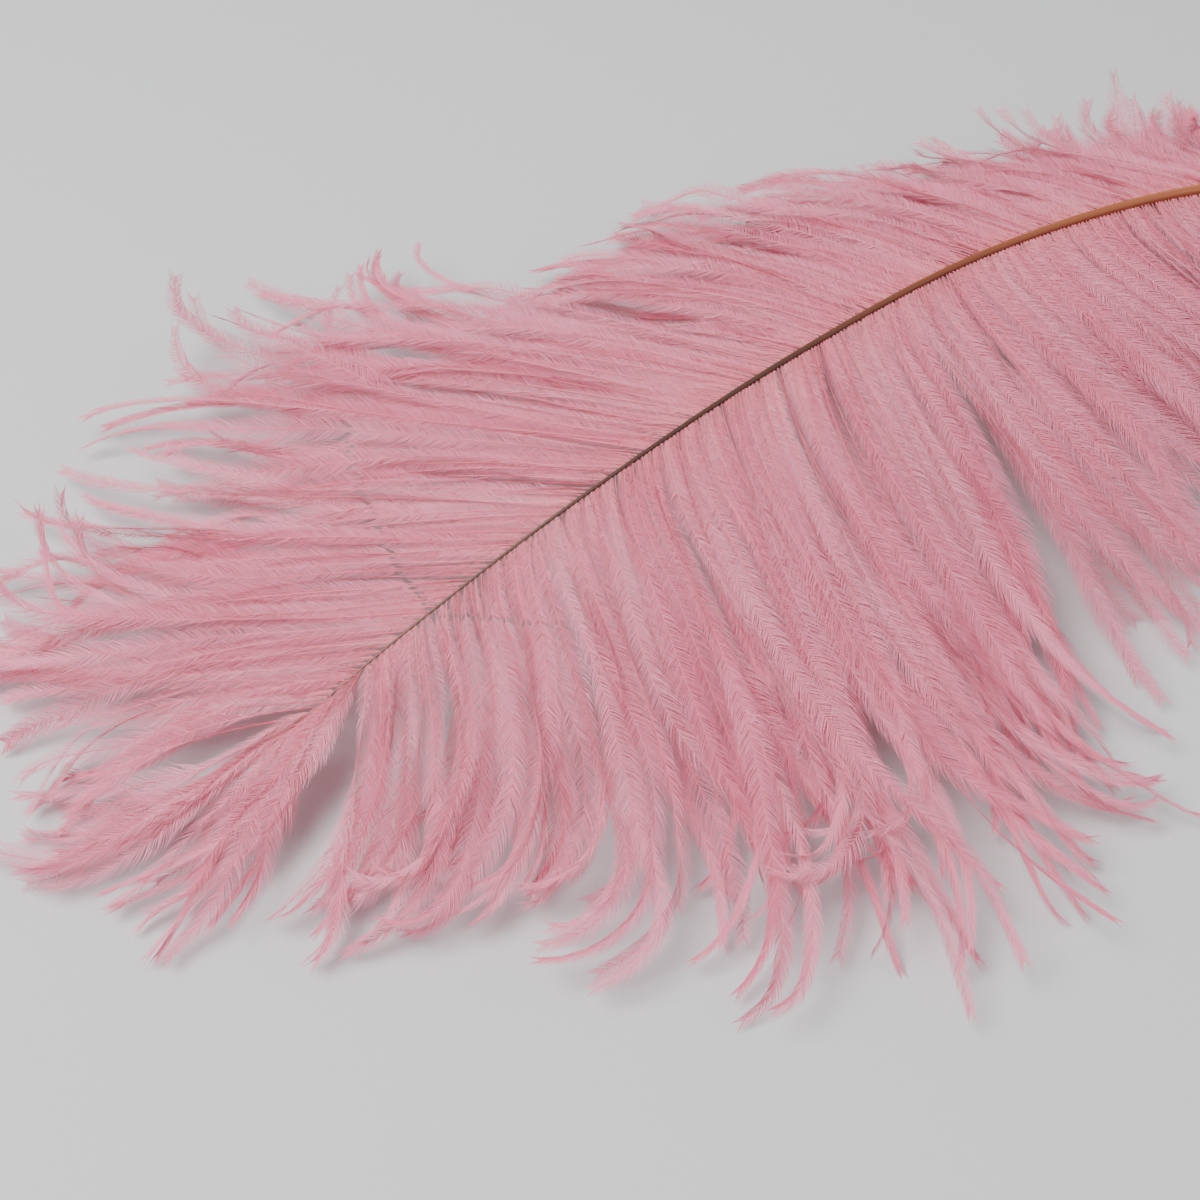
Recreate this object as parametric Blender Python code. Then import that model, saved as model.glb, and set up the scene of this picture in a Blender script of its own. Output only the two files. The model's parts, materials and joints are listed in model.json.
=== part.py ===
"""An ostrich plume lying at rest: its shaft, and the two vanes of soft barbs that droop from it to the surface."""

import math

import bmesh
import bpy
import numpy as np

# Lengths are in metres. Directions are in degrees, anticlockwise from +X seen from above, and the tip lies towards -X.

# The shaft's centreline, from the end of the quill to the tip: x, y and the height above the surface.
SHAFT_LINE = (
    (0.256, -0.013, 0.0016),
    (0.242, -0.010, 0.0038),
    (0.224, -0.006, 0.0085),
    (0.190, 0.0015, 0.0215),
    (0.118, 0.0115, 0.0385),
    (0.047, 0.0145, 0.0435),
    (-0.024, 0.0075, 0.0420),
    (-0.091, -0.002, 0.0345),
    (-0.146, -0.011, 0.0240),
    (-0.182, -0.017, 0.0140),
    (-0.196, -0.0185, 0.0110),
)

# Half the shaft's width at a distance from the end of the quill.
SHAFT_HALF_WIDTHS = (
    (0.000, 0.0009),
    (0.004, 0.0018),
    (0.014, 0.0025),
    (0.045, 0.0026),
    (0.140, 0.0016),
    (0.210, 0.0011),
    (0.270, 0.0009),
    (0.340, 0.00055),
    (0.385, 0.00035),
    (0.470, 0.00025),
)
CURVE_STEPS = 20
# How far before and behind a place its direction is taken.
SIGHT = 0.002
SHAFT_RINGS = 44
SHAFT_SIDES = 10
SHAFT_SQUARENESS = 0.75
SHAFT_HEIGHT_TO_WIDTH = 1.1
# The rings crowd towards the quill's rounded end by this power.
RING_CROWDING = 1.3

# Barbs of one vane: the distance of the root from the end of the quill, the direction in which the barb leaves
# the shaft, the direction of its tip, and its length seen from above.
NEAR_BARBS = (
    (0.038, -68, -55, 0.045),
    (0.090, -75, -52, 0.080),
    (0.160, -84, -50, 0.100),
    (0.230, -92, -52, 0.108),
    (0.266, -101, -80, 0.140),
    (0.300, -113, -103, 0.170),
    (0.350, -115, -140, 0.132),
    (0.385, -116, -160, 0.112),
    (0.425, -124, -184, 0.090),
    (0.447, -148, -182, 0.082),
    (0.457, -166, -173, 0.076),
)
FAR_BARBS = (
    (0.038, 114, 106, 0.045),
    (0.090, 108, 100, 0.070),
    (0.160, 104, 98, 0.090),
    (0.213, 104, 98, 0.102),
    (0.248, 107, 106, 0.112),
    (0.284, 120, 118, 0.134),
    (0.310, 128, 118, 0.174),
    (0.352, 146, 130, 0.158),
    (0.385, 151, 135, 0.148),
    (0.409, 154, 146, 0.130),
    (0.425, 160, 154, 0.112),
    (0.447, 168, 173, 0.090),
    (0.457, 172, 176, 0.078),
)
TIP_TURN_EXPONENT = 1.5

# The vanes as sheets: each follows the barbs, and its outer edge is cut into the pointed locks they gather in.
LOCKS = 17
STATIONS_PER_LOCK = 4
POINTS_PER_BARB = 9
LOCK_NOTCH = 0.14
VANE_THICKNESS = 0.0026
VANE_TO_SHAFT_GAP = 0.0010

# A barb leaves the shaft level, bends down under its own weight, and lies on the surface from here outwards.
REST_FROM = 0.80
DROOP_EXPONENT = 1.7

EDGE_ANGLE = 40

# Colour, roughness and metallic value of each material.
VANE_LOOK = ((0.80, 0.36, 0.45, 1.0), 0.85, 0.0)
SHAFT_LOOK = ((0.55, 0.24, 0.13, 1.0), 0.45, 0.0)


def clear_scene():
    for obj in list(bpy.data.objects):
        bpy.data.objects.remove(obj, do_unlink=True)


def material(name, look):
    color, roughness, metallic = look
    made = bpy.data.materials.new(name)
    made.use_nodes = True
    shader = made.node_tree.nodes["Principled BSDF"]
    shader.inputs["Base Color"].default_value = color
    shader.inputs["Roughness"].default_value = roughness
    shader.inputs["Metallic"].default_value = metallic
    made.diffuse_color = color
    return made


def add_object(name, mesh_builder, look):
    """Turns a bmesh into an object with outward faces, smooth shading and a material of its own."""
    bmesh.ops.recalc_face_normals(mesh_builder, faces=mesh_builder.faces)
    mesh = bpy.data.meshes.new(name)
    mesh_builder.to_mesh(mesh)
    mesh_builder.free()
    mesh.shade_smooth()
    mesh.set_sharp_from_angle(angle=math.radians(EDGE_ANGLE))
    mesh.materials.append(material(name, look))
    obj = bpy.data.objects.new(name, mesh)
    bpy.context.collection.objects.link(obj)
    return obj


def curve_through(points, steps):
    """Points on a smooth Catmull-Rom curve through the given ones, with so many steps between each two."""
    points = np.array(points)
    before = 2 * points[0] - points[1]
    after = 2 * points[-1] - points[-2]
    p = np.vstack([before, points, after])
    u = np.linspace(0, 1, steps, endpoint=False)[:, None]
    pieces = []
    for a, b, c, d in zip(p, p[1:], p[2:], p[3:]):
        cubic = 3 * b - a - 3 * c + d
        square = 2 * a - 5 * b + 4 * c - d
        pieces.append(b + ((c - a) * u + square * u**2 + cubic * u**3) / 2)
    return np.vstack([*pieces, points[-1:]])


class Shaft:
    """The shaft's centreline and width as functions of the distance from the end of the quill."""

    def __init__(self):
        self.line = curve_through(SHAFT_LINE, CURVE_STEPS)
        steps = np.linalg.norm(np.diff(self.line, axis=0), axis=1)
        self.distance = np.concatenate([[0], np.cumsum(steps)])
        self.length = self.distance[-1]

    def centre(self, t):
        return np.array([np.interp(t, self.distance, self.line[:, axis]) for axis in range(3)])

    def along(self, t):
        """The unit vector towards the tip."""
        step = self.centre(t + SIGHT) - self.centre(t - SIGHT)
        return step / np.linalg.norm(step)

    def sideways(self, t):
        """The level unit vector to the left of the way to the tip, on the near vane's side."""
        x, y, _ = self.along(t)
        return np.array([-y, x, 0]) / math.hypot(x, y)

    def half_width(self, t):
        distances, widths = zip(*SHAFT_HALF_WIDTHS)
        return np.interp(t, distances, widths)


def shaft_ring(shaft, t):
    """One cross-section of the shaft: a squarish oval, a little taller than it is wide."""
    centre = shaft.centre(t)
    side = shaft.sideways(t)
    up = np.cross(side, shaft.along(t))
    up *= math.copysign(1, up[2])
    half_width = shaft.half_width(t)
    half_height = half_width * SHAFT_HEIGHT_TO_WIDTH
    ring = []
    for k in range(SHAFT_SIDES):
        angle = 2 * math.pi * (k + 0.5) / SHAFT_SIDES
        across = math.copysign(abs(math.cos(angle)) ** SHAFT_SQUARENESS, math.cos(angle))
        above = math.copysign(abs(math.sin(angle)) ** SHAFT_SQUARENESS, math.sin(angle))
        ring.append(centre + side * across * half_width + up * above * half_height)
    return ring


def add_shaft(shaft):
    """The quill and shaft as one tube of rings, closer together where the quill rounds off at its end."""
    made = bmesh.new()
    spread = np.linspace(0, 1, SHAFT_RINGS) ** RING_CROWDING
    rings = [[made.verts.new(p) for p in shaft_ring(shaft, t)] for t in spread * shaft.length]
    for first, second in zip(rings, rings[1:]):
        for k in range(SHAFT_SIDES):
            after = (k + 1) % SHAFT_SIDES
            made.faces.new((first[k], first[after], second[after], second[k]))
    made.faces.new(rings[0])
    made.faces.new(rings[-1])
    return add_object("shaft", made, SHAFT_LOOK)


def lock_length(station):
    """The share of a barb's length that its lock keeps there: all of it at the lock's point, less beside it."""
    phase = (station % STATIONS_PER_LOCK) / STATIONS_PER_LOCK
    from_point = abs(2 * phase - 1)
    return 1 - LOCK_NOTCH * from_point


def barb_points(shaft, barbs, side, t, share):
    """The underside of the vane along the barb rooted at t, from the shaft out to the tip."""
    roots, leaving, ending, lengths = zip(*barbs)
    length = np.interp(t, roots, lengths) * share
    start, end = np.interp(t, roots, leaving), np.interp(t, roots, ending)
    reach = shaft.half_width(t) + VANE_TO_SHAFT_GAP
    place = shaft.centre(t) + side * shaft.sideways(t) * reach
    height = max(place[2] - VANE_THICKNESS / 2, 0)
    step = length / (POINTS_PER_BARB - 1)
    points = []
    for k in range(POINTS_PER_BARB):
        out = k / (POINTS_PER_BARB - 1)
        fall = min(out / REST_FROM, 1) ** DROOP_EXPONENT
        points.append((place[0], place[1], height * (1 - fall)))
        heading = math.radians(start + (end - start) * (out + 0.5 / POINTS_PER_BARB) ** TIP_TURN_EXPONENT)
        place = place + step * np.array([math.cos(heading), math.sin(heading), 0])
    return points


def add_vane(name, shaft, barbs, side):
    """One vane: a sheet that follows its barbs, thickened upwards so that it rests flat on the surface."""
    made = bmesh.new()
    stations = LOCKS * STATIONS_PER_LOCK + 1
    first, last = barbs[0][0], barbs[-1][0]
    rows = []
    for station in range(stations):
        t = first + (last - first) * station / (stations - 1)
        points = barb_points(shaft, barbs, side, t, lock_length(station))
        rows.append([made.verts.new(p) for p in points])
    for one, two in zip(rows, rows[1:]):
        for k in range(POINTS_PER_BARB - 1):
            made.faces.new((one[k], one[k + 1], two[k + 1], two[k]))
    obj = add_object(name, made, VANE_LOOK)
    thicken = obj.modifiers.new("thickness", "SOLIDIFY")
    thicken.thickness = VANE_THICKNESS
    thicken.offset = math.copysign(1, obj.data.polygons[0].normal.z)
    return obj


def centre_on_surface(objects):
    """Moves the plume so that the middle of its box is over the origin. It already stands at height zero."""
    bpy.context.view_layer.update()
    graph = bpy.context.evaluated_depsgraph_get()
    corners = np.array([corner[:] for obj in objects for corner in obj.evaluated_get(graph).bound_box])
    middle = (corners.min(axis=0) + corners.max(axis=0)) / 2
    for obj in objects:
        obj.location = (-middle[0], -middle[1], 0)


clear_scene()
plume_shaft = Shaft()
centre_on_surface(
    [
        add_shaft(plume_shaft),
        add_vane("near_vane", plume_shaft, NEAR_BARBS, 1),
        add_vane("far_vane", plume_shaft, FAR_BARBS, -1),
    ]
)
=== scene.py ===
"""An ostrich plume in full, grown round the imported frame: its shaft, its barbs and their barbules.

Lengths are in metres. Directions are in degrees, anticlockwise from +X seen from above."""

import json
import math

import bpy
import numpy as np
from mathutils import Matrix

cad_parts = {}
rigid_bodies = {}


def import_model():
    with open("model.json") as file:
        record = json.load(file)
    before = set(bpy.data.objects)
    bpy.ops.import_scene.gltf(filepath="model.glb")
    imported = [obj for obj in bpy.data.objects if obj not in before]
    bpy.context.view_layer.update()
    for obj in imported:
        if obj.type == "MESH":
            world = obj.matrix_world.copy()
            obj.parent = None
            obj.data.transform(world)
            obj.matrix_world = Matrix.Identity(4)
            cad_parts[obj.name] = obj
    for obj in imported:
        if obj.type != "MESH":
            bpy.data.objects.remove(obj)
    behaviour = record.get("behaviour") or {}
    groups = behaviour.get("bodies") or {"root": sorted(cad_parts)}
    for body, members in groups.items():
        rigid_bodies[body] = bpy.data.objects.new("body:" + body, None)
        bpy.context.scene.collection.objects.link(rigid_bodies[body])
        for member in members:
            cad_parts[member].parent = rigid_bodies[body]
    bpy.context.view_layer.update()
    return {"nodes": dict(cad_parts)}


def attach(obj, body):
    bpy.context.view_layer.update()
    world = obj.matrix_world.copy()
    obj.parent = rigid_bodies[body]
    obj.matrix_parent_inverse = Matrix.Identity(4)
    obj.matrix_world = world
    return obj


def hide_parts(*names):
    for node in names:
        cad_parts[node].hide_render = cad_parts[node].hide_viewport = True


SEED = 7
BODY = "root"
UV_MAP = "OFBake"
# Shorter vectors than this count as having no direction.
LEAST_LENGTH = 1e-12

# The locks of each vane, by their middle barbs: the distance of the root from the end of the quill, the
# directions of the barb at its root, at 20% and 75% of the way out and at its tip, its length seen from
# above, the height of its tip, how strictly the lock's barbs keep together (0 to 1), and how far the
# barbules towards their ends stand open.
NEAR_LOCKS = (
    (0.044, -110, -72, -57, -50, 0.048, 0.004, 0.3, 1.0),
    (0.062, -111, -73, -57, -70, 0.060, 0.006, 0.3, 1.0),
    (0.080, -112, -74, -55, -40, 0.076, 0.004, 0.4, 0.9),
    (0.098, -112, -74, -50, -60, 0.080, 0.008, 0.3, 1.0),
    (0.116, -112, -74, -58, -35, 0.088, 0.004, 0.5, 0.8),
    (0.134, -112, -74, -52, -50, 0.092, 0.006, 0.4, 1.0),
    (0.150, -113, -74, -48, -30, 0.098, 0.004, 0.4, 0.9),
    (0.166, -113, -74, -58, -62, 0.098, 0.006, 0.4, 1.0),
    (0.182, -114, -74, -50, -38, 0.104, 0.004, 0.5, 1.0),
    (0.198, -114, -76, -58, -66, 0.102, 0.008, 0.4, 0.9),
    (0.214, -114, -78, -60, -40, 0.112, 0.003, 0.4, 0.9),
    (0.228, -114, -86, -72, -60, 0.118, 0.004, 0.5, 0.9),
    (0.240, -115, -92, -84, -75, 0.122, 0.004, 0.4, 0.8),
    (0.250, -115, -97, -90, -100, 0.126, 0.006, 0.3, 0.6),
    (0.256, -115, -98, -84, -40, 0.140, 0.003, 0.8, 0.3),
    (0.264, -115, -101, -90, -80, 0.132, 0.003, 0.3, 0.7),
    (0.271, -115, -101, -94, -130, 0.136, 0.006, 0.4, 0.4),
    (0.278, -115, -102, -85, -25, 0.156, 0.006, 0.7, 0.4),
    (0.285, -116, -104, -84, 8, 0.172, 0.006, 0.8, 0.4),
    (0.292, -116, -102, -87, -90, 0.170, 0.004, 0.3, 0.4),
    (0.298, -116, -103, -86, -60, 0.176, 0.012, 0.5, 0.5),
    (0.305, -116, -101, -93, -140, 0.168, 0.005, 0.3, 0.5),
    (0.313, -116, -96, -98, -220, 0.152, 0.020, 0.7, 0.6),
    (0.322, -116, -98, -94, -145, 0.162, 0.008, 0.4, 0.5),
    (0.334, -117, -99, -98, -160, 0.154, 0.005, 0.4, 0.5),
    (0.346, -117, -101, -100, -120, 0.134, 0.004, 0.4, 0.6),
    (0.358, -118, -100, -110, -205, 0.128, 0.006, 0.4, 0.5),
    (0.370, -118, -101, -118, -225, 0.126, 0.012, 0.6, 0.5),
    (0.382, -118, -103, -122, -180, 0.108, 0.008, 0.3, 0.6),
    (0.394, -118, -105, -130, -225, 0.104, 0.012, 0.6, 0.5),
    (0.408, -117, -109, -132, -205, 0.088, 0.006, 0.5, 0.6),
    (0.420, -119, -118, -132, -175, 0.080, 0.005, 0.7, 0.5),
    (0.431, -138, -146, -158, -150, 0.071, 0.006, 0.85, 0.4),
    (0.443, -146, -154, -166, -180, 0.063, 0.004, 0.7, 0.6),
    (0.454, -165, -176, -196, -222, 0.069, 0.004, 0.7, 0.7),
)
FAR_LOCKS = (
    (0.044, 118, 110, 100, 80, 0.044, 0.010, 0.3, 1.0),
    (0.062, 119, 116, 104, 130, 0.056, 0.010, 0.3, 1.0),
    (0.080, 120, 118, 108, 50, 0.064, 0.016, 0.4, 1.0),
    (0.098, 120, 114, 100, 20, 0.068, 0.018, 0.3, 1.0),
    (0.110, 119, 112, 94, 60, 0.070, 0.022, 0.3, 1.0),
    (0.122, 118, 108, 104, 110, 0.070, 0.014, 0.3, 1.0),
    (0.134, 118, 108, 98, 70, 0.076, 0.020, 0.4, 1.0),
    (0.146, 118, 104, 110, 140, 0.078, 0.010, 0.3, 1.0),
    (0.156, 118, 103, 100, 90, 0.084, 0.014, 0.6, 0.7),
    (0.168, 118, 102, 108, 140, 0.080, 0.010, 0.4, 0.9),
    (0.182, 118, 101, 100, 84, 0.086, 0.010, 0.5, 1.0),
    (0.198, 118, 101, 108, 140, 0.098, 0.008, 0.5, 0.7),
    (0.214, 118, 101, 100, 110, 0.094, 0.006, 0.3, 0.9),
    (0.230, 118, 102, 112, 160, 0.110, 0.006, 0.6, 0.6),
    (0.246, 118, 106, 106, 112, 0.100, 0.006, 0.3, 0.9),
    (0.260, 119, 110, 114, 150, 0.110, 0.006, 0.6, 0.5),
    (0.272, 122, 114, 120, 136, 0.104, 0.006, 0.4, 0.8),
    (0.283, 126, 120, 118, 128, 0.112, 0.006, 0.3, 0.9),
    (0.291, 128, 123, 122, 50, 0.150, 0.012, 0.8, 0.5),
    (0.299, 130, 126, 116, 96, 0.162, 0.010, 0.7, 0.6),
    (0.305, 131, 126, 121, 104, 0.164, 0.008, 0.6, 0.6),
    (0.312, 133, 127, 120, 220, 0.142, 0.010, 0.6, 0.7),
    (0.319, 135, 130, 126, 140, 0.140, 0.006, 0.4, 0.9),
    (0.326, 137, 131, 122, 60, 0.166, 0.020, 0.8, 1.0),
    (0.334, 140, 132, 126, 166, 0.164, 0.006, 0.7, 0.4),
    (0.342, 143, 137, 130, 96, 0.136, 0.006, 0.4, 0.9),
    (0.352, 147, 141, 140, 176, 0.126, 0.006, 0.4, 0.9),
    (0.361, 148, 143, 132, 118, 0.148, 0.008, 0.7, 0.7),
    (0.370, 150, 144, 142, 186, 0.122, 0.006, 0.5, 0.8),
    (0.379, 151, 145, 136, 110, 0.144, 0.008, 0.5, 0.6),
    (0.390, 152, 147, 148, 190, 0.136, 0.006, 0.4, 0.8),
    (0.402, 154, 150, 136, 60, 0.124, 0.030, 0.7, 0.5),
    (0.414, 155, 151, 146, 130, 0.124, 0.006, 0.4, 0.8),
    (0.426, 155, 150, 150, 170, 0.104, 0.005, 0.6, 0.8),
    (0.436, 154, 150, 174, 220, 0.079, 0.006, 0.8, 0.5),
    (0.446, 176, 186, 170, 150, 0.066, 0.008, 0.8, 0.5),
    (0.456, 182, 196, 178, 160, 0.064, 0.010, 0.7, 0.7),
)
# The columns of these rows, which the rows made for every barb share.
ROOT = 0
HEADINGS = slice(1, 5)
LENGTH = 5
TIP_HEIGHT = 6
HOLD = 7
OPENNESS = 8
# How far along a barb its four directions are given, from 0 at its root to 1 at its tip.
HEADING_PLACES = (0, 0.2, 0.75, 1)
# How far a barb may stray when it picks the lock nearest its root, how wide a lock is and how high against
# that, and where on the way to the tip its barbs start to gather.
LOCK_JITTER = 0.003
LOCK_WIDTH = 0.012
LOCK_FLATNESS = 0.5
GATHER_FROM = (0.5, 0.85)

# Distance between neighbouring barbs of one vane, against the distance from the end of the quill.
BARB_SPACING = ((0.04, 0.0013), (0.22, 0.0012), (0.32, 0.0012), (0.36, 0.0018), (0.44, 0.0020))
SPACING_STRAY = (0.8, 1.2)
# How much of the shaft's tip has no barbs.
BARE_TIP = 0.001
BARB_STEPS = 28
BARB_SIDES = 3
BARB_RADIUS = 0.00021
BARB_TIP_RADIUS = 0.00007
BARB_TAPER = 0.7
# A barb's length and its tip's height, at least and at most, as shares of what its lock's row says.
BARB_LENGTHS = (0.68, 1.06)
BARB_LIFT = (0.3, 1.6)
# Degrees by which barbs stray from their rows' directions: all along, more and more towards the tip, in a
# hook right at the tip of some, and in waves.
BARB_TURN = 2.5
BARB_CURL = 46.0
CURL_EXPONENT = 3
HOOKED_SHARE = 0.3
HOOK = 80.0
HOOK_EXPONENT = 7
BARB_WANDER = 5.0
BARB_WAVES = 1.5
# A barb starts inside the shaft, this share of the shaft's half width from its middle. It droops by the one
# power, its tip lifts by the other, and its middle line is never lower than the last of these.
ROOT_DEPTH = 0.8
DROOP_EXPONENT = 1.7
TIP_RISE_EXPONENT = 4
LEAST_HEIGHT = 0.0015

BARBULE_SPACING = 0.00047
# How few pairs of barbules a barb may have, and where in its own stretch of the barb a pair stands.
LEAST_BARBULES = 4
PAIR_PLACES = (0.2, 0.8)
BARBULE_LENGTH = 0.0080
# How long the barbules are along a barb, as shares of that length.
BARBULE_SHARES = ((0.0, 0.2), (0.05, 0.5), (0.30, 0.7), (0.50, 1.0), (0.80, 1.0), (1.0, 0.5))
# Shares by which single barbules are shorter or longer, and narrower or wider.
BARBULE_LENGTHS = (0.8, 1.1)
BARBULE_WIDTH = 0.000185
BARBULE_WIDTHS = (0.8, 1.2)
# The width of a barbule's middle, as a share of its root's.
MIDDLE_WIDTH = 0.75
# Degrees between a barb and its barbule's inner and outer half, by which they wander along the barb, and by
# which they stray.
BARBULE_ANGLES = (42, 27)
BARBULE_WANDER = 3.5
BARBULE_WAVES = 4
BARBULE_STRAY = 2.2
# Radians by which a barbule rises from the vane, tilts up or down, and rolls about its own length.
BARBULE_RISE = 0.12
BARBULE_TILT = 0.06
BARBULE_ROLL = 0.28
# Degrees by which a barb twists, in waves along it, and the share of them that the whole barb is turned by.
TWIST = 28.0
TWIST_WAVES = 0.8
TWIST_AT_ROOT = 0.5
# Where along a barb its barbules go from standing open to standing as its lock has them, how far barbs
# stray from the latter, and the limits of it.
CLOSING = (0.5, 0.85)
OPENNESS_STRAY = 0.15
OPENNESS_LIMITS = (0.25, 1.15)

# A fault bar crosses both vanes, where the growing feather once faltered: y and x of a line along which the
# barbules are stunted, how far from it they are, and by what share.
FAULT_BAR = (
    (-0.026, -0.106),
    (-0.014, -0.1206),
    (-0.004, -0.133),
    (0.010, -0.135),
    (0.030, -0.132),
    (0.048, -0.1285),
    (0.070, -0.122),
)
FAULT_REACH = 0.0009
FAULT_WEAR = 0.85
# What wanders smoothly is a sum of waves: how many of each there are, as shares of the number asked for, and
# how strong they are.
DRIFT_PARTS = (0.6, 1.0, 1.7)
DRIFT_STRENGTH = 0.8
# The lowest that any part of the plume comes to the surface.
FLOOR_CLEARANCE = 0.0003
# The pieces of each vane, from the quill to the tip.
VANE_PIECES = ("base", "middle", "tip")

SHAFT_SLICES = 200
# How far before and behind a place on the shaft its direction is taken.
SIGHT = 0.003
SHAFT_SIDES = 16
SHAFT_SQUARENESS = 0.7
SHAFT_HEIGHT_TO_WIDTH = 1.1
SHAFT_GROOVE = 0.35
GROOVE_SHARPNESS = 12
# The rounding of the shaft's ends: how far out each ring is and how wide it is, in shares of the half width
# there.
END_REACH = (0.5, 0.9, 1.2, 1.3)
END_WIDTHS = (0.92, 0.7, 0.36, 0.02)

# Where the shades of barbs and of barbules start up the map, and how much of its height they take up.
BARB_BAND = (0.54, 0.44)
BARBULE_BAND = (0.02, 0.44)
# The barbs' shades, from dark at 0 to light at 1, and how much lighter each corner of their section is.
BARB_SHADES = (0.05, 0.85)
BARB_CORNER_SHADES = (0, 0.05, 0.10)
# The barbules' usual shade, how far a barb's strays from it and in how many waves, how far a barbule's
# strays from its barb's, the limits of it, and how much lighter each corner of a barbule is, root to tip.
BARBULE_SHADE = 0.42
BARB_TONE = 0.17
TONE_WAVES = 1.0
BARBULE_TONE = 0.12
SHADE_LIMITS = (0.02, 0.8)
BARBULE_CORNER_SHADES = (0, 0.02, 0.08, 0.10, 0.18)
# Places up the map, and their linear colours: the barbules' shades first, and then the barbs'.
BARB_COLORS = (
    (0.02, (0.76, 0.16, 0.27)),
    (0.20, (0.89, 0.26, 0.385)),
    (0.40, (0.96, 0.37, 0.49)),
    (0.50, (0.98, 0.46, 0.57)),
    (0.52, (0.90, 0.20, 0.28)),
    (0.98, (0.98, 0.34, 0.42)),
)
# Places along a barb, and what its colour is multiplied by there.
BARB_FADE = (
    (0.00, (1.0, 0.88, 0.78)),
    (0.08, (1.0, 0.96, 0.95)),
    (0.30, (1.0, 1.0, 1.0)),
    (1.00, (1.0, 0.96, 0.97)),
)
BARB_ROUGHNESS = 0.75
BARB_SPECULAR = 0.3
BARB_SHEEN = 0.15

# Places along the shaft, from the quill's end to the tip, and their linear colours.
SHAFT_COLORS = (
    (0.00, (0.80, 0.56, 0.42)),
    (0.08, (0.80, 0.42, 0.24)),
    (0.30, (0.74, 0.22, 0.075)),
    (0.40, (0.56, 0.16, 0.055)),
    (0.50, (0.36, 0.10, 0.035)),
    (0.62, (0.14, 0.055, 0.03)),
    (0.72, (0.12, 0.06, 0.04)),
    (0.84, (0.25, 0.16, 0.11)),
    (1.00, (0.62, 0.25, 0.24)),
)
# Painted light round the shaft: places from its groove by the near side and over the top, and what its
# colour is multiplied by there. It is darker for painted shade in the groove and on the near side, and
# lightest for a painted highlight over the top.
SHAFT_PAINTED_LIGHT = (
    (0.00, (0.50, 0.46, 0.44)),
    (0.25, (0.48, 0.42, 0.40)),
    (0.42, (0.60, 0.56, 0.52)),
    (0.52, (0.84, 0.84, 0.84)),
    (0.66, (1.00, 1.00, 1.00)),
    (0.80, (0.66, 0.62, 0.62)),
)
# How fine the streaks are along the shaft and round it (the map has no third direction), how much finer ones
# they carry, and how they shade the shaft's colour.
SHAFT_STREAKS = (14, 40, 1)
STREAK_DETAIL = 4.0
STREAK_SHADES = ((0.3, (0.70, 0.66, 0.64)), (0.7, (1.0, 1.0, 1.0)))
SHAFT_ROUGHNESS = 0.42

FLOOR_SIZE = 6
FLOOR_COLOR = (0.72, 0.72, 0.73, 1)
FLOOR_ROUGHNESS = 0.9
# Each light's name, place, size across and power in watts.
LIGHTS = (
    ("key", (-0.7, 0.1, 1.1), 0.8, 21),
    ("fill", (0.9, -0.6, 0.8), 1.2, 5),
)
WORLD_COLOR = (0.95, 0.97, 1.0, 1)
WORLD_STRENGTH = 0.42
SENSOR_WIDTH = 36
FIELD_OF_VIEW = 32
CAMERA_AZIMUTH = -30
CAMERA_ELEVATION = 50
CAMERA_DISTANCE = 0.558
CAMERA_TARGET = (-0.0848, -0.0014, 0.0)
CLIP_START = 0.01


def clear_scene():
    for obj in list(bpy.data.objects):
        bpy.data.objects.remove(obj, do_unlink=True)


def unit(vectors):
    return vectors / np.maximum(np.linalg.norm(vectors, axis=-1, keepdims=True), LEAST_LENGTH)


def level_left(along):
    """The level unit vectors to the left of these directions."""
    return unit(np.stack([-along[..., 1], along[..., 0], np.zeros(along.shape[:-1])], axis=-1))


def turned(first, second, angle):
    """Two perpendicular directions after both turn by this angle, from the first towards the second."""
    return first * np.cos(angle) + second * np.sin(angle), second * np.cos(angle) - first * np.sin(angle)


def smoothstep(low, high, x):
    t = np.clip((x - low) / (high - low), 0, 1)
    return t * t * (3 - 2 * t)


def step_lengths(paths):
    return np.linalg.norm(np.diff(paths, axis=-2), axis=-1)


def distances_along(line):
    """How far each point of a line is from its first, along it."""
    return np.concatenate([[0], np.cumsum(step_lengths(line))])


def drift(rng, shape, waves):
    """Values of about unit size that wander smoothly along each row, with so many waves to a row."""
    u = np.linspace(0, 1, shape[1])
    total = np.zeros(shape)
    for part in DRIFT_PARTS:
        phase = rng.uniform(0, 2 * math.pi, (shape[0], 1))
        strength = rng.normal(0, DRIFT_STRENGTH, (shape[0], 1))
        total += np.sin(2 * math.pi * waves * part * u + phase) * strength
    return total


def sampled(values, barb, u):
    """What (barb, step, ...) values come to at these places along these barbs."""
    place = u * (values.shape[1] - 1)
    low = np.minimum(place.astype(int), values.shape[1] - 2)
    part = (place - low)[:, None]
    return values[barb, low] * (1 - part) + values[barb, low + 1] * part


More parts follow.
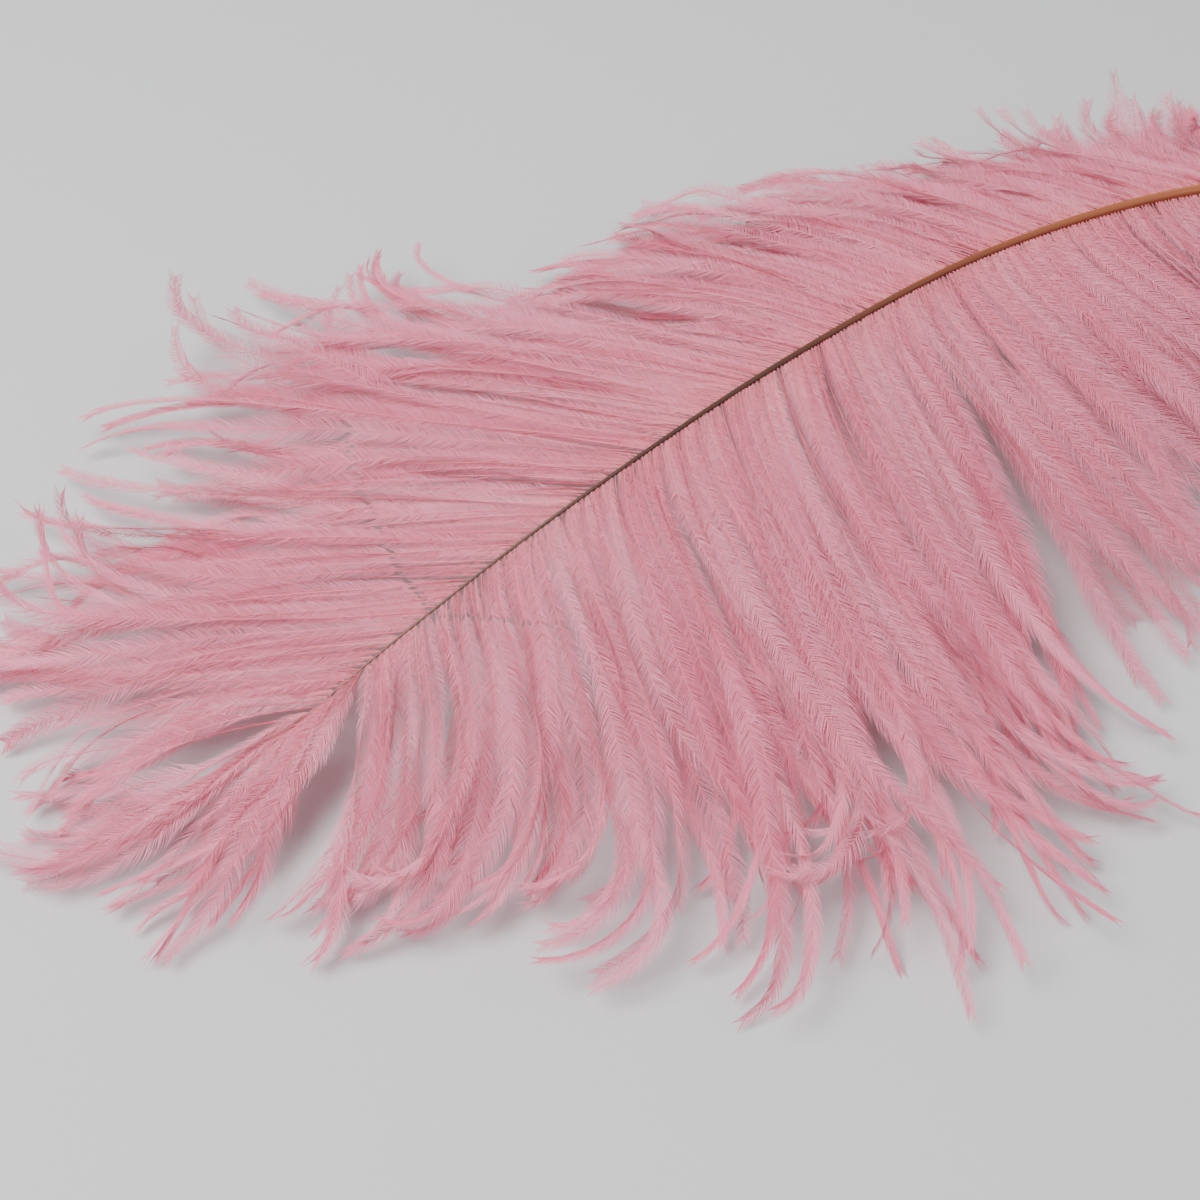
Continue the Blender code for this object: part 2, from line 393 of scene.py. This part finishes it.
class Shaft:
    """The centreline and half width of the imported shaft, read by slicing its mesh from quill to tip."""

    def __init__(self, node):
        mesh = node.data
        points = np.empty(len(mesh.vertices) * 3)
        mesh.vertices.foreach_get("co", points)
        points = points.reshape(-1, 3)
        edges = np.empty(len(mesh.edges) * 2, int)
        mesh.edges.foreach_get("vertices", edges)
        first, second = points[edges.reshape(-1, 2)].transpose(1, 0, 2)
        ends = points[:, 0].max(), points[:, 0].min()
        slices = [self.cut(first, second, x) for x in np.linspace(*ends, SHAFT_SLICES + 2)[1:-1]]
        self.line = np.array([middle for middle, _ in slices])
        self.half_widths = np.array([width for _, width in slices])
        self.distance = distances_along(self.line)
        self.length = self.distance[-1]

    @staticmethod
    def cut(first, second, x):
        """The middle and the half width of the shaft's section at x, from the ends of the mesh's edges."""
        crosses = (first[:, 0] - x) * (second[:, 0] - x) < 0
        a, b = first[crosses], second[crosses]
        met = a + (b - a) * ((x - a[:, :1]) / (b[:, :1] - a[:, :1]))
        low, high = met.min(axis=0), met.max(axis=0)
        return (low + high) / 2, (high[1] - low[1]) / 2

    def centre(self, t):
        return np.stack([np.interp(t, self.distance, column) for column in self.line.T], axis=-1)

    def along(self, t):
        """The unit vectors towards the tip."""
        return unit(self.centre(t + SIGHT) - self.centre(t - SIGHT))

    def half_width(self, t):
        return np.interp(t, self.distance, self.half_widths)

    def rounded_ends(self):
        """The centreline and half widths, carried on to a rounded end at the quill and at the tip."""
        out = np.array(END_REACH)[:, None]
        first = self.line[0] + unit(self.line[0] - self.line[1]) * self.half_widths[0] * out[::-1]
        last = self.line[-1] + unit(self.line[-1] - self.line[-2]) * self.half_widths[-1] * out
        ends = np.array(END_WIDTHS)
        widths = [self.half_widths[0] * ends[::-1], self.half_widths, self.half_widths[-1] * ends]
        return np.concatenate([first, self.line, last]), np.concatenate(widths)


def stations(rng, last):
    """Where the barbs of one vane are rooted."""
    roots, spacings = zip(*BARB_SPACING)
    found = [roots[0]]
    while found[-1] < last:
        found.append(found[-1] + np.interp(found[-1], roots, spacings) * rng.uniform(*SPACING_STRAY))
    return np.array(found[:-1])


def barb_rows(rng, shaft, locks):
    """The rows of one vane's barbs, and which lock each one joins.

    A row lies between a blend of the two nearest locks and the joined lock, by how strictly that one holds.
    """
    t = stations(rng, shaft.length - BARE_TIP)
    strayed = t[:, None] + rng.normal(0, LOCK_JITTER, (len(t), 1))
    lock = np.abs(strayed - locks[:, ROOT]).argmin(axis=1)
    between = np.stack([np.interp(t, locks[:, ROOT], column) for column in locks.T], axis=1)
    rows = between + (locks[lock] - between) * locks[lock, HOLD][:, None]
    rows[:, ROOT] = t
    rows[:, LENGTH] *= rng.uniform(*BARB_LENGTHS, len(t))
    rows[:, TIP_HEIGHT] *= rng.uniform(*BARB_LIFT, len(t))
    return rows, lock


def headings_of(rows):
    """The direction of each row's barb at every step, from its directions at the four places."""
    middles = (np.arange(BARB_STEPS) + 0.5) / BARB_STEPS
    weights = np.stack([np.interp(middles, HEADING_PLACES, one) for one in np.eye(len(HEADING_PLACES))])
    return rows[:, HEADINGS] @ weights


def strays(rng, count):
    """How far each of so many barbs turns away from its row's direction, at every step."""
    u = (np.arange(BARB_STEPS) + 0.5) / BARB_STEPS
    turn = rng.normal(0, BARB_TURN, (count, 1)) + rng.normal(0, BARB_CURL, (count, 1)) * u**CURL_EXPONENT
    hooked = rng.uniform(0, 1, (count, 1)) < HOOKED_SHARE
    turn = turn + hooked * rng.normal(0, HOOK, (count, 1)) * u**HOOK_EXPONENT
    return turn + BARB_WANDER * drift(rng, (count, BARB_STEPS), BARB_WAVES) * u


def lay(shaft, side, rows, headings):
    """The paths of barbs, as (barb, step, xyz), that leave the shaft and droop in these directions.

    The side is 1 on the left of the way to the tip, where the near vane is, and -1 on the right.
    """
    t = rows[:, ROOT]
    u = np.linspace(0, 1, BARB_STEPS + 1)
    start = shaft.centre(t) + level_left(shaft.along(t)) * side * shaft.half_width(t)[:, None] * ROOT_DEPTH
    directions = np.stack([np.cos(np.radians(headings)), np.sin(np.radians(headings))], axis=-1)
    steps = np.cumsum(directions * rows[:, LENGTH, None, None] / BARB_STEPS, axis=1)
    plan = start[:, None, :2] + np.concatenate([np.zeros((len(rows), 1, 2)), steps], axis=1)
    droop = start[:, 2:] * (1 - u**DROOP_EXPONENT)
    height = droop + rows[:, TIP_HEIGHT, None] * u**TIP_RISE_EXPONENT
    return np.concatenate([plan, height[:, :, None]], axis=2)


def gathered(rng, paths, lines, hold):
    """The barbs' paths once they are drawn, on the way to their tips, towards the lines of their locks."""
    spread = rng.normal(0, LOCK_WIDTH / 2, (len(paths), 1, 3)) * (1, 1, LOCK_FLATNESS)
    start = rng.uniform(*GATHER_FROM, (len(paths), 1))
    pull = hold[:, None] * smoothstep(start, 1.0, np.linspace(0, 1, BARB_STEPS + 1))
    return paths + (lines + spread - paths) * pull[:, :, None]


def grow_vane(rng, shaft, side, locks):
    """The paths of one vane's barbs, and how open each one's barbules stand."""
    locks = np.array(locks)
    rows, lock = barb_rows(rng, shaft, locks)
    paths = lay(shaft, side, rows, headings_of(rows) + strays(rng, len(rows)))
    lines = lay(shaft, side, locks, headings_of(locks))[lock]
    paths = gathered(rng, paths, lines, rows[:, HOLD])
    paths[:, :, 2] = np.maximum(paths[:, :, 2], LEAST_HEIGHT)
    opened = rows[:, OPENNESS] + rng.normal(0, OPENNESS_STRAY, len(rows))
    return paths, np.clip(opened, *OPENNESS_LIMITS)


def shaft_section():
    """How far across and above its middle each corner of a section is, from the groove, in half widths."""
    angle = np.linspace(-math.pi / 2, 3 * math.pi / 2, SHAFT_SIDES + 1)
    across = np.sign(np.cos(angle)) * np.abs(np.cos(angle)) ** SHAFT_SQUARENESS
    above = np.sign(np.sin(angle)) * np.abs(np.sin(angle)) ** SHAFT_SQUARENESS
    groove = SHAFT_GROOVE * np.maximum(-np.sin(angle), 0) ** GROOVE_SHARPNESS
    return across, above * (1 - groove) * SHAFT_HEIGHT_TO_WIDTH


def shaft_mesh(shaft):
    """The shaft as rings of a squarish oval. Returns vertices, faces and the map's coordinates."""
    line, widths = shaft.rounded_ends()
    along = unit(np.gradient(line, axis=0))
    side = level_left(along)
    up = np.cross(along, side)
    across, above = shaft_section()
    corners = len(across)
    ring = side[:, None] * across[:, None] + up[:, None] * above[:, None]
    vertices = (line[:, None] + ring * widths[:, None, None]).reshape(-1, 3)
    here = (np.arange(len(line) - 1)[:, None] * corners + np.arange(SHAFT_SIDES)).ravel()
    quads = np.stack([here, here + 1, here + 1 + corners, here + corners], axis=-1)
    lengths = distances_along(line)
    u = np.repeat(lengths / lengths[-1], corners)
    # The map's height goes round each ring, where the painted shade and highlight are laid.
    v = np.tile(np.linspace(0, 1, corners), len(line))
    return vertices, quads, np.stack([u, v], axis=-1)


def frames_along(paths):
    """The unit directions along each barb, level to its left, and up from the vane."""
    along = unit(np.gradient(paths, axis=1))
    left = level_left(along)
    return along, left, np.cross(along, left)


def tube_faces(count, rings, sides):
    """The faces of so many tubes in a row, each of so many rings."""
    base = (np.arange(count)[:, None] * rings + np.arange(rings - 1)) * sides
    faces = []
    for k in range(sides):
        after = (k + 1) % sides
        quads = np.stack([base + k, base + after, base + after + sides, base + k + sides], axis=-1)
        faces.append(quads.reshape(-1, 4))
    return np.concatenate(faces)


def barb_mesh(rng, paths):
    """Each barb as a thin tapering tube. Returns vertices, faces and the map's coordinates."""
    count, rings = paths.shape[:2]
    _, left, up = frames_along(paths)
    u = np.linspace(0, 1, rings)
    radius = BARB_TIP_RADIUS + (BARB_RADIUS - BARB_TIP_RADIUS) * (1 - u) ** BARB_TAPER
    corners = []
    for k in range(BARB_SIDES):
        angle = math.pi / 2 + k * 2 * math.pi / BARB_SIDES
        corners.append(paths + (left * math.cos(angle) + up * math.sin(angle)) * radius[None, :, None])
    vertices = np.stack(corners, axis=2).reshape(-1, 3)
    shade = np.repeat(rng.uniform(*BARB_SHADES, count), rings * BARB_SIDES)
    shade = shade + np.tile(BARB_CORNER_SHADES, count * rings)
    bottom, height = BARB_BAND
    uv = np.stack([np.tile(np.repeat(u, BARB_SIDES), count), bottom + height * shade], axis=-1)
    return vertices, tube_faces(count, rings, BARB_SIDES), uv


def spots_along(rng, lengths):
    """Where barbules grow, in pairs: each one's barb, its place along it from 0 to 1, and its side."""
    each = np.maximum((lengths / BARBULE_SPACING).astype(int), LEAST_BARBULES)
    barb = np.repeat(np.arange(len(lengths)), each)
    order = np.arange(len(barb)) - np.repeat(np.cumsum(each) - each, each)
    u = (order + rng.uniform(*PAIR_PLACES, len(barb))) / each[barb]
    return np.repeat(barb, 2), np.repeat(u, 2), np.tile([1.0, -1.0], len(barb))[:, None]


def barbule_frames(rng, paths, barb, u, side):
    """The directions along the barb, out from it and up at each barbule's root. The barbs slowly twist."""
    count, rings = paths.shape[:2]
    along, left, up = (unit(sampled(values, barb, u)) for values in frames_along(paths))
    twist = drift(rng, (count, rings), TWIST_WAVES) + rng.normal(0, TWIST_AT_ROOT, (count, 1))
    twist = sampled(np.radians(TWIST) * twist[:, :, None], barb, u)
    tilt = rng.normal(0, BARBULE_TILT, (len(u), 1))
    left, up = turned(left, up, twist + side * BARBULE_RISE + tilt)
    return along, side * left, up


def barbule_angles(rng, shape, opened, barb, u):
    """The angles in radians between the barb and each barbule's inner and outer half."""
    wander = BARBULE_WANDER * sampled(drift(rng, shape, BARBULE_WAVES)[:, :, None], barb, u)
    wander = wander + rng.normal(0, BARBULE_STRAY, (len(u), 1))
    spread = 1 + (opened[barb] - 1) * smoothstep(*CLOSING, u)
    return [np.radians(angle + wander) * spread[:, None] for angle in BARBULE_ANGLES]


def stunted(places):
    """True where a place lies on the fault bar."""
    across, along = zip(*FAULT_BAR)
    bar = np.interp(places[:, 1], across, along, left=np.inf, right=np.inf)
    return np.abs(places[:, 0] - bar) < FAULT_REACH


def barbule_map(rng, shape, barb, u):
    """The map's coordinates of each barbule's corners: its place along the barb, and its shade."""
    tone = BARBULE_SHADE + rng.normal(0, BARB_TONE, (shape[0], 1))
    tone = tone + BARB_TONE / 2 * drift(rng, shape, TONE_WAVES)
    shade = sampled(tone[:, :, None], barb, u)[:, 0] + rng.normal(0, BARBULE_TONE, len(u))
    corners = np.clip(shade, *SHADE_LIMITS)[:, None] + BARBULE_CORNER_SHADES
    bottom, height = BARBULE_BAND
    return np.stack([np.repeat(u, corners.shape[1]), bottom + height * corners.ravel()], axis=-1)


def barbule_mesh(rng, paths, opened):
    """The barbules of each barb, in pairs: narrow ribbons that bend towards its tip and end in a point."""
    shape = paths.shape[:2]
    barb, u, side = spots_along(rng, step_lengths(paths).sum(axis=1))
    origin = sampled(paths, barb, u)
    along, out, up = barbule_frames(rng, paths, barb, u, side)
    leave, end = barbule_angles(rng, shape, opened, barb, u)
    first, _ = turned(along, out, leave)
    second, _ = turned(along, out, end)
    flat, _ = turned(unit(np.cross(up, first)), up, rng.normal(0, BARBULE_ROLL, (len(u), 1)))
    length = BARBULE_LENGTH * np.interp(u, *zip(*BARBULE_SHARES)) * rng.uniform(*BARBULE_LENGTHS, len(u))
    half = (length * (1 - FAULT_WEAR * stunted(origin)))[:, None] / 2
    width = flat * BARBULE_WIDTH / 2 * rng.uniform(*BARBULE_WIDTHS, (len(u), 1))
    middle = origin + first * half
    tip = middle + second * half
    narrower = width * MIDDLE_WIDTH
    corners = (origin - width, origin + width, middle - narrower, middle + narrower, tip)
    vertices = np.stack(corners, axis=1).reshape(-1, 3)
    base = np.arange(len(u)) * len(corners)
    quads = np.stack([base, base + 1, base + 3, base + 2], axis=-1)
    triangles = np.stack([base + 2, base + 3, base + 4], axis=-1)
    return vertices, quads, triangles, barbule_map(rng, shape, barb, u)


def add_mesh(name, vertices, quads, triangles, uv, look, node):
    """Makes a piece of the visual model out of arrays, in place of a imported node."""
    vertices[:, 2] = np.maximum(vertices[:, 2], FLOOR_CLEARANCE)
    corners = np.concatenate([quads.ravel(), triangles.ravel()])
    sizes = np.concatenate([np.full(len(quads), 4), np.full(len(triangles), 3)])
    mesh = bpy.data.meshes.new(name)
    mesh.vertices.add(len(vertices))
    mesh.vertices.foreach_set("co", vertices.astype(np.float32).ravel())
    mesh.loops.add(len(corners))
    mesh.loops.foreach_set("vertex_index", corners.astype(np.int32))
    mesh.polygons.add(len(sizes))
    mesh.polygons.foreach_set("loop_start", (np.cumsum(sizes) - sizes).astype(np.int32))
    mesh.polygons.foreach_set("use_smooth", np.ones(len(sizes), bool))
    mesh.update(calc_edges=True)
    layer = mesh.uv_layers.new(name=UV_MAP)
    layer.data.foreach_set("uv", uv[corners].astype(np.float32).ravel())
    mesh.materials.append(look)
    piece = bpy.data.objects.new(name, mesh)
    bpy.context.scene.collection.objects.link(piece)
    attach(piece, BODY)
    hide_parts(node)


def add_shaft(shaft):
    vertices, quads, uv = shaft_mesh(shaft)
    no_triangles = np.empty((0, 3), int)
    add_mesh("shaft_in_full", vertices, quads, no_triangles, uv, shaft_material(), "shaft")


def add_vane(rng, shaft, node, side, locks, look):
    """One vane, as a few pieces that follow each other along the shaft."""
    paths, opened = grow_vane(rng, shaft, side, locks)
    lengths = step_lengths(paths).sum(axis=1)
    share = np.cumsum(lengths) / lengths.sum()
    part = np.minimum((share * len(VANE_PIECES)).astype(int), len(VANE_PIECES) - 1)
    prefix = node.replace("vane", "barbs")
    for number, place in enumerate(VANE_PIECES):
        mine = part == number
        vertices, quads, uv = barb_mesh(rng, paths[mine])
        more, more_quads, triangles, more_uv = barbule_mesh(rng, paths[mine], opened[mine])
        add_mesh(
            f"{prefix}_{place}",
            np.concatenate([vertices, more]),
            np.concatenate([quads, more_quads + len(vertices)]),
            triangles + len(vertices),
            np.concatenate([uv, more_uv]),
            look,
            node,
        )


def node_material(name):
    made = bpy.data.materials.new(name)
    made.use_nodes = True
    tree = made.node_tree
    return made, tree, tree.nodes["Principled BSDF"]


def map_coordinates(tree):
    """The piece's map, whole and as its width and its height."""
    where = tree.nodes.new("ShaderNodeUVMap")
    where.uv_map = UV_MAP
    split = tree.nodes.new("ShaderNodeSeparateXYZ")
    tree.links.new(where.outputs["UV"], split.inputs[0])
    return where.outputs["UV"], split.outputs["X"], split.outputs["Y"]


def ramp(tree, factor, stops):
    """A colour ramp over the factor, from its stops of place and linear colour."""
    node = tree.nodes.new("ShaderNodeValToRGB")
    while len(node.color_ramp.elements) < len(stops):
        node.color_ramp.elements.new(0.5)
    for element, (place, color) in zip(node.color_ramp.elements, stops):
        element.position = place
        element.color = (*color, 1)
    tree.links.new(factor, node.inputs[0])
    return node.outputs["Color"]


def multiplied(tree, first, second):
    """The product of two colours."""
    mix = tree.nodes.new("ShaderNodeMix")
    mix.data_type = "RGBA"
    mix.blend_type = "MULTIPLY"
    mix.inputs["Factor"].default_value = 1.0
    tree.links.new(first, mix.inputs["A"])
    tree.links.new(second, mix.inputs["B"])
    return mix.outputs["Result"]


def barb_material():
    """Dyed down. The map runs root to tip, and its height tells barbule from barb and dark from light."""
    made, tree, shader = node_material("dyed_barbs")
    _, along, shade = map_coordinates(tree)
    color = multiplied(tree, ramp(tree, shade, BARB_COLORS), ramp(tree, along, BARB_FADE))
    tree.links.new(color, shader.inputs["Base Color"])
    shader.inputs["Roughness"].default_value = BARB_ROUGHNESS
    shader.inputs["Specular IOR Level"].default_value = BARB_SPECULAR
    shader.inputs["Sheen Weight"].default_value = BARB_SHEEN
    return made


def shaft_streaks(tree, where):
    """Faint streaks that run along the shaft, as a shade to multiply its colour by."""
    stretch = tree.nodes.new("ShaderNodeMapping")
    stretch.inputs["Scale"].default_value = SHAFT_STREAKS
    tree.links.new(where, stretch.inputs["Vector"])
    noise = tree.nodes.new("ShaderNodeTexNoise")
    noise.inputs["Scale"].default_value = 1.0
    noise.inputs["Detail"].default_value = STREAK_DETAIL
    tree.links.new(stretch.outputs["Vector"], noise.inputs["Vector"])
    return ramp(tree, noise.outputs["Fac"], STREAK_SHADES)


def shaft_material():
    """Dyed keratin, with painted shade and highlight round it. The map runs quill to tip, and its height
    goes round the shaft from its groove.
    """
    made, tree, shader = node_material("dyed_shaft")
    where, along, around = map_coordinates(tree)
    # The shaft's colour along it, times painted shade on its sides and groove and a painted highlight on
    # top.
    color = multiplied(tree, ramp(tree, along, SHAFT_COLORS), ramp(tree, around, SHAFT_PAINTED_LIGHT))
    color = multiplied(tree, color, shaft_streaks(tree, where))
    tree.links.new(color, shader.inputs["Base Color"])
    shader.inputs["Roughness"].default_value = SHAFT_ROUGHNESS
    return made


def add_floor():
    bpy.ops.mesh.primitive_plane_add(size=FLOOR_SIZE, location=(0, 0, 0))
    floor = bpy.context.object
    floor.name = "floor"
    made, _, shader = node_material("floor")
    shader.inputs["Base Color"].default_value = FLOOR_COLOR
    shader.inputs["Roughness"].default_value = FLOOR_ROUGHNESS
    floor.data.materials.append(made)


def aim(obj, place, target):
    """Puts a light or a camera at a place and points it at the target, upright."""
    obj.location = place
    back = unit(np.array(place) - np.array(target))
    right = unit(np.cross([0, 0, 1], back))
    up = np.cross(back, right)
    obj.rotation_mode = "QUATERNION"
    obj.rotation_quaternion = Matrix(np.stack([right, up, back], axis=1).tolist()).to_quaternion()


def add_light(name, place, size, power):
    light = bpy.data.lights.new(name, "AREA")
    light.size = size
    light.energy = power
    obj = bpy.data.objects.new(name, light)
    bpy.context.scene.collection.objects.link(obj)
    aim(obj, place, (0, 0, 0))


def add_camera():
    camera = bpy.data.cameras.new("camera")
    camera.sensor_width = SENSOR_WIDTH
    camera.lens = SENSOR_WIDTH / 2 / math.tan(math.radians(FIELD_OF_VIEW / 2))
    camera.clip_start = CLIP_START
    obj = bpy.data.objects.new("camera", camera)
    bpy.context.scene.collection.objects.link(obj)
    azimuth, elevation = math.radians(CAMERA_AZIMUTH), math.radians(CAMERA_ELEVATION)
    across = math.sin(azimuth) * math.cos(elevation)
    forward = math.cos(azimuth) * math.cos(elevation)
    back = np.array([across, -forward, math.sin(elevation)])
    aim(obj, CAMERA_TARGET + back * CAMERA_DISTANCE, CAMERA_TARGET)
    bpy.context.scene.camera = obj


def add_world():
    world = bpy.data.worlds.new("studio")
    bpy.context.scene.world = world
    world.use_nodes = True
    background = world.node_tree.nodes["Background"]
    background.inputs["Color"].default_value = WORLD_COLOR
    background.inputs["Strength"].default_value = WORLD_STRENGTH


clear_scene()
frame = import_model()
rng = np.random.default_rng(SEED)
plume_shaft = Shaft(frame["nodes"]["shaft"])
barb_look = barb_material()
add_vane(rng, plume_shaft, "near_vane", 1, NEAR_LOCKS, barb_look)
add_vane(rng, plume_shaft, "far_vane", -1, FAR_LOCKS, barb_look)
add_shaft(plume_shaft)
add_floor()
add_world()
for light in LIGHTS:
    add_light(*light)
add_camera()
